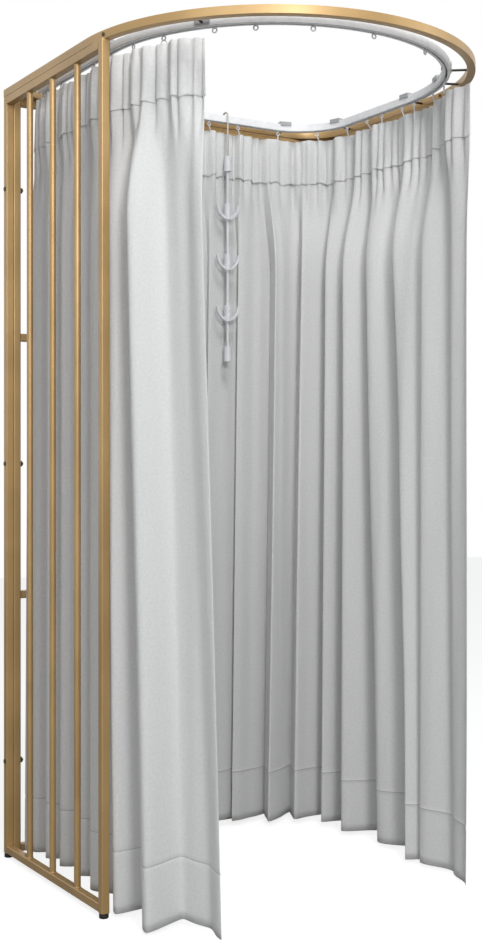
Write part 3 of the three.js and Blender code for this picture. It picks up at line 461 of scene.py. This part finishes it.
bracket_names = [name for name in nodes if name.endswith("_bracket")]
for name in bracket_names:
    bracket = softened_copy(name, grey_plastic, "frame", 0.0006)
    bracket.data.materials.append(black_steel)
    for face in bracket.data.polygons:
        face.material_index = int(out_of_track(face.center) > SADDLE_REACH)

# Runners of white plastic that slide in the track, each with an eye below the slot. The two
# that lead the curtains carry the ring and the pin of a curtain hook as well.
for number in (1, 2, 3, 4, 5):
    name = f"spare_runner_{number}"
    softened_copy(name, white_plastic, name, 0.0003)
for side in ("left", "right"):
    name = f"{side}_lead_runner"
    softened_copy(name, white_plastic, name, 0.0003)

# Curtains of a pale grey woven cloth, hung from hooks behind a gathered heading. Each has a
# deep heading band folded over its top edge, main folds that lean over, and a deep sewn hem.
MM = 0.001
CLOTH_TOP = 1.955
LOWEST_HEM = 0.02
DROP = CLOTH_TOP - LOWEST_HEM
HEADING = 0.125
HEM_SEAM = 0.138


def on_track(side, along, out):
    """A place by its distance along the track, from the start of the front arc, and out of it."""
    reach = TRACK_MIDDLE + out
    if along > 0:
        angle = along / TRACK_MIDDLE
        return Vector((side * reach * math.cos(angle), ARC_Y - reach * math.sin(angle)))
    corner_start = ARC_Y - CORNER_Y
    if side < 0 or along > corner_start:
        return Vector((side * reach, ARC_Y - along))
    turn = (corner_start - along) / TRACK_CORNER
    radius = TRACK_CORNER + out
    if turn < math.pi / 2:
        return Vector((CORNER_X + radius * math.cos(turn), CORNER_Y + radius * math.sin(turn)))
    return Vector((CORNER_X - (turn - math.pi / 2) * TRACK_CORNER, CORNER_Y + radius))


def woven_cloth():
    cloth = bpy.data.materials.new("pale_grey_cloth")
    cloth.use_nodes = True
    tree = cloth.node_tree
    shader = tree.nodes["Principled BSDF"]
    shader.inputs["Roughness"].default_value = 0.92
    shader.inputs["Specular IOR Level"].default_value = 0.2
    shader.inputs["Sheen Weight"].default_value = 0.35
    shader.inputs["Sheen Roughness"].default_value = 0.5
    place = tree.nodes.new("ShaderNodeUVMap")
    place.uv_map = "cloth"
    parts = tree.nodes.new("ShaderNodeSeparateXYZ")
    tree.links.new(place.outputs["UV"], parts.inputs[0])
    threads = []
    for axis, pitch in (("X", 0.0011), ("Y", 0.0013)):
        scaled = tree.nodes.new("ShaderNodeMath")
        scaled.operation = "MULTIPLY"
        scaled.inputs[1].default_value = math.tau / pitch
        tree.links.new(parts.outputs[axis], scaled.inputs[0])
        wave = tree.nodes.new("ShaderNodeMath")
        wave.operation = "SINE"
        tree.links.new(scaled.outputs[0], wave.inputs[0])
        threads.append(wave)
    weave = tree.nodes.new("ShaderNodeMath")
    weave.operation = "MULTIPLY"
    tree.links.new(threads[0].outputs[0], weave.inputs[0])
    tree.links.new(threads[1].outputs[0], weave.inputs[1])
    stretch = tree.nodes.new("ShaderNodeMapping")
    stretch.inputs["Scale"].default_value = (22, 4, 1)
    tree.links.new(place.outputs["UV"], stretch.inputs["Vector"])
    creases = tree.nodes.new("ShaderNodeTexNoise")
    creases.inputs["Scale"].default_value = 1.0
    creases.inputs["Detail"].default_value = 3.0
    tree.links.new(stretch.outputs[0], creases.inputs["Vector"])
    slub = tree.nodes.new("ShaderNodeTexNoise")
    slub.inputs["Scale"].default_value = 160.0
    slub.inputs["Detail"].default_value = 2.0
    tree.links.new(place.outputs["UV"], slub.inputs["Vector"])
    tint = tree.nodes.new("ShaderNodeValToRGB")
    tint.color_ramp.elements[0].position = 0.25
    tint.color_ramp.elements[0].color = (0.655, 0.66, 0.655, 1)
    tint.color_ramp.elements[1].position = 0.75
    tint.color_ramp.elements[1].color = (0.725, 0.727, 0.72, 1)
    tree.links.new(slub.outputs["Fac"], tint.inputs["Fac"])
    # A darker line along the hem seam: the stitching, with painted shade of the seam's pinched fold.
    on_seam = tree.nodes.new("ShaderNodeMath")
    on_seam.operation = "COMPARE"
    on_seam.inputs[1].default_value = HEM_SEAM
    on_seam.inputs[2].default_value = 0.0009
    tree.links.new(parts.outputs["Y"], on_seam.inputs[0])
    seam_stitch_and_shade = tree.nodes.new("ShaderNodeMix")
    seam_stitch_and_shade.data_type = "RGBA"
    seam_stitch_and_shade.inputs["B"].default_value = (0.42, 0.42, 0.41, 1)
    tree.links.new(on_seam.outputs[0], seam_stitch_and_shade.inputs["Factor"])
    tree.links.new(tint.outputs["Color"], seam_stitch_and_shade.inputs["A"])
    tree.links.new(seam_stitch_and_shade.outputs["Result"], shader.inputs["Base Color"])
    fine = tree.nodes.new("ShaderNodeBump")
    fine.inputs["Strength"].default_value = 0.35
    fine.inputs["Distance"].default_value = 0.0003
    tree.links.new(weave.outputs[0], fine.inputs["Height"])
    broad = tree.nodes.new("ShaderNodeBump")
    broad.inputs["Strength"].default_value = 0.4
    broad.inputs["Distance"].default_value = 0.006
    tree.links.new(creases.outputs["Fac"], broad.inputs["Height"])
    tree.links.new(fine.outputs["Normal"], broad.inputs["Normal"])
    tree.links.new(broad.outputs["Normal"], shader.inputs["Normal"])
    return cloth


cloth = woven_cloth()

# Fold lines of each curtain from its tail to its leading edge: the place along the track and
# out of it at the top, the same at the hem, and the height of the hem, all in millimetres.
LEFT_FOLDS = [
    (-417, 8, -427, 42, 34), (-385, 22, -390, 34, 34), (-345, 8, -348, -10, 36), (-303, 22, -302, 36, 38),
    (-262, 8, -262, -14, 38), (-221, 22, -220, 38, 40), (-180, 8, -178, -12, 42), (-138, 22, -132, 36, 40),
    (-96, 8, -88, -16, 36), (-56, 22, -40, 38, 30), (-12, 8, 28, -14, 24), (45, 24, 98, 56, 12),
    (92, 8, 126, -6, 20), (137, 24, 203, 96, 8), (186, 8, 244, 5, 20), (236, 24, 300, 14, 12),
    (292, 8, 341, 62, 5),
]
RIGHT_FOLDS = [
    (-1205, 8, -1205, 2, 20), (-1130, 22, -1130, 36, 18), (-1106, 6, -1112, -24, 18),
    (-1032, 22, -1036, 34, 18), (-1008, 6, -1020, -26, 18), (-934, 22, -943, 36, 18),
    (-910, 8, -926, 16, 18), (-836, 24, -850, 42, 18), (-812, 8, -833, 16, 18),
    (-736, 24, -758, 42, 18), (-712, 9, -740, 16, 20), (-634, 26, -665, 42, 22),
    (-617, 9, -650, 13, 16), (-536, 26, -577, 40, 16), (-519, 2, -560, -44, 16),
    (-437, 24, -481, 34, 16), (-419, 2, -462, -54, 16), (-345, 24, -352, 36, 16),
    (-329, 2, -330, -64, 16), (-258, 22, -262, 30, 16), (-236, 2, -198, -72, 14),
    (-180, 20, -150, 22, 14), (-152, 2, -56, -57, 14), (-60, 22, 66, 26, 14),
    (-30, 5, 128, -75, 12), (100, 22, 150, -20, 14), (133, 5, 168, -50, 14),
    (196, 20, 246, 22, 12), (228, 8, 271, 18, 14), (289, 56, 332, 47, 5),
]
# How far the recess on each of these fold lines runs on behind the next fold, in millimetres
RIGHT_LEANS = {9: 46, 11: 46, 13: 62, 15: 26}
COLUMNS_PER_FOLD = 18
ROUNDINGS = 8

# Pitch and depth in millimetres of the gathers in the heading, the small puckers between them,
# the minor folds further down, the sway of the folds sideways and the scalloped edge of the band.
GATHERS = (29, 9.5)
PUCKERS = (13, 1.6)
MINOR_FOLDS = (62, 2.4)
SWAY = (170, 9.0)
BAND_EDGE = (31, 3.5)

# The folds open over the first stretch below the heading, and go on deepening to the hem. The
# face from a crest to a recess starts flat and steepens by this power.
OPENED_EARLY = 0.66
OPENING_STRETCH = 0.3
CREST_POWER = 1.8


def ease(share):
    """Goes from 0 to 1 with a soft start and a soft end."""
    return (1 - math.cos(math.pi * min(max(share, 0.0), 1.0))) / 2


def ripple_line(rng, start, stop, pitch, depth):
    """Places of small gathers along the cloth, alternately to either side of its line."""
    places = []
    along = start
    direction = 1
    while along < stop + 2 * pitch:
        places.append((along, direction * depth * rng.uniform(0.45, 1.25)))
        along += pitch / 2 * rng.uniform(0.6, 1.45)
        direction = -direction
    return places


def ripple_at(places, along):
    """How far the cloth stands off its line at one place, eased between the gathers."""
    for (a, low), (b, high) in zip(places, places[1:]):
        if along <= b:
            return low + (high - low) * ease((along - a) / (b - a))
    return 0.0


class Curtain:
    """A hanging cloth, by its columns along the track and its depth below the top edge."""

    def __init__(self, side, folds, leans, rounded_rows, seed):
        rng = random.Random(seed)
        self.side = side
        self.folds = folds
        self.leans = leans
        self.rounded_rows = rounded_rows
        start = folds[0][0]
        stop = folds[-1][2]
        self.gathers = ripple_line(rng, start, stop, *GATHERS)
        self.puckers = ripple_line(rng, start, stop, *PUCKERS)
        self.minor = ripple_line(rng, start, stop, *MINOR_FOLDS)
        self.sway = ripple_line(rng, start, stop, *SWAY)
        self.edge = ripple_line(rng, start, stop, *BAND_EDGE)
        self.hems = []
        for a, b in zip(folds, folds[1:]):
            for k in range(COLUMNS_PER_FOLD):
                self.hems.append((a[4] + (b[4] - a[4]) * k / COLUMNS_PER_FOLD) * MM)
        self.hems.append(folds[-1][4] * MM)

    def line(self, depth):
        """The cloth's middle at one depth, from 0 at the top edge to 1 at the hem."""
        below = depth * DROP
        opened = ease((below - 0.75 * HEADING) / OPENING_STRETCH)
        grown = OPENED_EARLY * opened + (1 - OPENED_EARLY) * depth
        stops = []
        for i, (top, top_out, foot, foot_out, _) in enumerate(self.folds):
            lean = self.leans.get(i, 0) * grown
            stops.append((top + (foot - top) * depth + lean, top_out + (foot_out - top_out) * grown))
        path = []
        for i, (a, b) in enumerate(zip(stops, stops[1:])):
            for k in range(COLUMNS_PER_FOLD):
                share = k / COLUMNS_PER_FOLD
                slow = share ** CREST_POWER if i in self.rounded_rows else ease(share)
                turn = ease(share) + (slow - ease(share)) * grown
                path.append((a[0] + (b[0] - a[0]) * share, a[1] + (b[1] - a[1]) * turn))
        path.append(tuple(stops[-1]))
        for _ in range(ROUNDINGS):
            inner = [
                ((a[0] + 2 * b[0] + c[0]) / 4, (a[1] + 2 * b[1] + c[1]) / 4)
                for a, b, c in zip(path, path[1:], path[2:])
            ]
            path = [path[0]] + inner + [path[-1]]
        heading = 1 - ease((below - HEADING) / 0.1)
        body = ease((below - 0.5 * HEADING) / 0.2) * (1 - 0.5 * depth)
        points = []
        for (along, out), hem in zip(path, self.hems):
            out += ripple_at(self.gathers, along) * (0.6 + 0.4 * ease(below / 0.05)) * heading
            out += ripple_at(self.puckers, along) * heading
            out += ripple_at(self.minor, along + 14 * depth) * body
            along += ripple_at(self.sway, along) * ease(depth) * 0.5
            place = on_track(self.side, along * MM, out * MM)
            points.append(Vector((place.x, place.y, CLOTH_TOP - depth * (CLOTH_TOP - hem))))
        return points

    def across(self, points):
        """At each point of a line, the way square to the cloth in plan, out of the room."""
        ways = []
        for before, after in zip([points[0]] + points[:-1], points[1:] + [points[-1]]):
            run = (after - before).to_2d().normalized()
            ways.append(Vector((run.y, -run.x, 0)) * (-self.side))
        return ways


def add_grid(bm, rows, heights):
    """Joins rows of points into a sheet of quads, with a UV map in metres along and up the cloth."""
    uv = bm.loops.layers.uv.new("cloth")
    grid = [[bm.verts.new(point) for point in row] for row in rows]
    middle = rows[len(rows) // 2]
    run = [0.0]
    for a, b in zip(middle, middle[1:]):
        run.append(run[-1] + (b - a).length)
    for j in range(len(grid) - 1):
        for i in range(len(grid[0]) - 1):
            face = bm.faces.new((grid[j][i], grid[j][i + 1], grid[j + 1][i + 1], grid[j + 1][i]))
            for loop, (x, y) in zip(face.loops, ((i, j), (i + 1, j), (i + 1, j + 1), (i, j + 1))):
                loop[uv].uv = (run[x], heights[y])


def cloth_object(name, bm, thickness):
    for face in bm.faces:
        face.smooth = True
    mesh = bpy.data.meshes.new(name)
    bm.to_mesh(mesh)
    bm.free()
    mesh.materials.append(cloth)
    piece = bpy.data.objects.new(name, mesh)
    scene.collection.objects.link(piece)
    thick = piece.modifiers.new("cloth_thickness", "SOLIDIFY")
    thick.thickness = thickness
    thick.offset = 0.0
    return piece


def cloth_rows():
    """Depths of the cloth's rows, close together in the heading and at the hem."""
    heading = [HEADING * k / 12 / DROP for k in range(12)]
    start = HEADING / DROP
    seam = 1 - HEM_SEAM / DROP
    body = [start + (seam - 0.006 - start) * k / 46 for k in range(46)]
    seam_rows = [seam - 0.006, seam - 0.003, seam - 0.001, seam, seam + 0.001, seam + 0.003, seam + 0.006]
    hem = [seam + 0.006 + (1 - seam - 0.006) * k / 6 for k in range(1, 7)]
    return heading + body + seam_rows + hem


# How far the heading band stands off the cloth on its way down, and over the top edge
BAND_SHAPE = [
    (1.0, 1.0), (0.97, 0.9), (0.9, 0.6), (0.75, 0.35), (0.5, 0.2), (0.25, 0.1), (0.1, 0.0), (0.0, 0.0),
]
BAND_OVER_EDGE = ((0.7, -0.9), (1.1, 0.0), (0.7, 0.9))
BAND_OFF_CLOTH = 1.15
TUFT_STAND = 1.9
TUFT_STEP = 2.4
BAND_THICKNESS = 0.0009


def heading_band(name, curtain):
    """The band folded over the top edge, down the room side and the outer side of the cloth."""
    rows = []
    heights = []
    for face in (-1, 1):
        shape = BAND_SHAPE if face < 0 else BAND_SHAPE[::-1]
        for depth, flare in shape:
            middle = curtain.line(depth * HEADING / DROP)
            ways = curtain.across(middle)
            row = []
            for i, (place, way) in enumerate(zip(middle, ways)):
                along = curtain.folds[0][0] + i * TUFT_STEP
                tuft = 0.5 + 0.5 * math.tanh(ripple_at(curtain.gathers, along) / 3.5)
                stand = BAND_OFF_CLOTH + flare * (0.1 + TUFT_STAND * tuft)
                scallop = ripple_at(curtain.edge, along) * MM * depth
                row.append(place + way * (face * stand * MM) - Vector((0, 0, scallop)))
            rows.append(row)
            heights.append(DROP - depth * HEADING)
        if face < 0:
            for rise, stand in BAND_OVER_EDGE:
                rows.append([
                    place + way * (stand * MM) + Vector((0, 0, rise * MM)) for place, way in zip(middle, ways)
                ])
                heights.append(DROP)
    bm = bmesh.new()
    add_grid(bm, rows, heights)
    return cloth_object(name, bm, BAND_THICKNESS)


CLOTH_THICKNESS = 0.0012
SEAM_PINCH = 0.0014
SEAM_SPREAD = 0.0015


def hang_curtain(name, curtain):
    """The whole sheet, pinched a little along the seam of its hem, with its flat area."""
    depths = cloth_rows()
    seam = 1 - HEM_SEAM / DROP
    rows = []
    for depth in depths:
        middle = curtain.line(depth)
        pinch = SEAM_PINCH * math.exp(-((depth - seam) / SEAM_SPREAD) ** 2)
        rows.append([place - way * pinch for place, way in zip(middle, curtain.across(middle))])
    bm = bmesh.new()
    add_grid(bm, rows, [(1 - depth) * DROP for depth in depths])
    area = sum(face.calc_area() for face in bm.faces)
    return cloth_object(name, bm, CLOTH_THICKNESS), area


# Curtain hooks of white plastic: an eye below the slot of the track, and a shank that goes
# down behind the top edge of the cloth. The leading hook is the one on the lead runner.
HOOK_EYE = 0.0042
HOOK_WIRE = 0.0015
HOOK_EYE_Z = 1.9715
HOOK_NECK = 0.0085
SHANK_SLANT = 0.016
SHANK_FOOT = 1.936
LEFT_HOOKS = (-384, -289, -194, -99, -4, 91)
RIGHT_HOOKS = (
    -1180, -1090, -1000, -910, -820, -725, -630.7, -497.2,
    -382.3, -276.5, -182.0, -113.7, -25.9, 26.2, 128.5,
)


def curtain_hooks(name, curtain, places):
    """One hook for each place: a round eye, its neck up into the slot and its shank."""
    top = curtain.line(0.008)
    shank_top = HOOK_EYE_Z - HOOK_EYE + 0.0008
    bm = bmesh.new()
    for along in places:
        on_line = on_track(curtain.side, along * MM, 0)
        nearest = min(top, key=lambda point: (point.to_2d() - on_line).length)
        heading = on_track(curtain.side, (along + 1) * MM, 0) - on_line
        part = bmesh.new()
        section = bmesh.ops.create_circle(part, cap_ends=True, segments=8, radius=HOOK_WIRE)["verts"]
        bmesh.ops.rotate(part, cent=(0, 0, 0), matrix=Matrix.Rotation(math.pi / 2, 3, "X"), verts=section)
        bmesh.ops.rotate(part, cent=(0, 0, 0), matrix=Matrix.Rotation(math.pi / 2, 3, "Z"), verts=section)
        bmesh.ops.translate(part, vec=(0, 0, HOOK_EYE), verts=section)
        bmesh.ops.spin(
            part, geom=part.faces[:], cent=(0, 0, 0), axis=(0, 1, 0), angle=math.tau, steps=16,
            use_merge=True,
        )
        bmesh.ops.rotate(
            part, cent=(0, 0, 0), matrix=Matrix.Rotation(math.atan2(heading.y, heading.x), 3, "Z"),
            verts=part.verts,
        )
        bmesh.ops.translate(part, vec=(*on_line, HOOK_EYE_Z), verts=part.verts)
        for start, reaches in (
            ((*on_line, HOOK_EYE_Z + HOOK_EYE - 0.0005), [(0, 0, HOOK_NECK)]),
            (
                (*on_line, shank_top),
                [
                    (nearest.x - on_line.x, nearest.y - on_line.y, -SHANK_SLANT),
                    (0, 0, SHANK_FOOT - shank_top + SHANK_SLANT),
                ],
            ),
        ):
            shank = bmesh.new()
            bmesh.ops.create_circle(shank, cap_ends=True, segments=8, radius=1.3 * HOOK_WIRE)
            bmesh.ops.translate(shank, vec=start, verts=shank.verts)
            end = shank.faces[:]
            for reach in reaches:
                end = pull(shank, end, reach)
            join(part, shank)
        join(bm, part)
    return finish_piece(name, bm, white_plastic, None, 50)


hung = (
    ("left", Curtain(-1, LEFT_FOLDS, {}, (), 4), LEFT_HOOKS, 0.186),
    ("right", Curtain(1, RIGHT_FOLDS, RIGHT_LEANS, range(0, 18, 2), 9), RIGHT_HOOKS, 0.228),
)
for side, curtain, hook_places, lead_along in hung:
    sheet, area = hang_curtain(f"{side}_cloth", curtain)
    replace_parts(sheet, f"{side}_curtain")
    band = heading_band(f"{side}_cloth_heading", curtain)
    hooks = curtain_hooks(f"{side}_curtain_hooks", curtain, hook_places)
    for piece in (sheet, band, hooks):
        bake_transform(piece)

# Hook strip: a wire hook over the back track, a moulded strip with a cap and a weight, and
# three white double hooks that turn on it.
bright_zinc = plain_finish("bright_zinc", (0.42, 0.40, 0.37), 0.4, 0.6, 500.0, 0.0001)
softened_copy("strip_hook", bright_zinc, "strip_hook", 0.0003)
softened_copy("hook_strip", white_plastic, "hook_strip", 0.0006)
for level in ("upper", "middle", "lower"):
    name = f"{level}_double_hook"
    softened_copy(name, white_plastic, name, 0.0005)
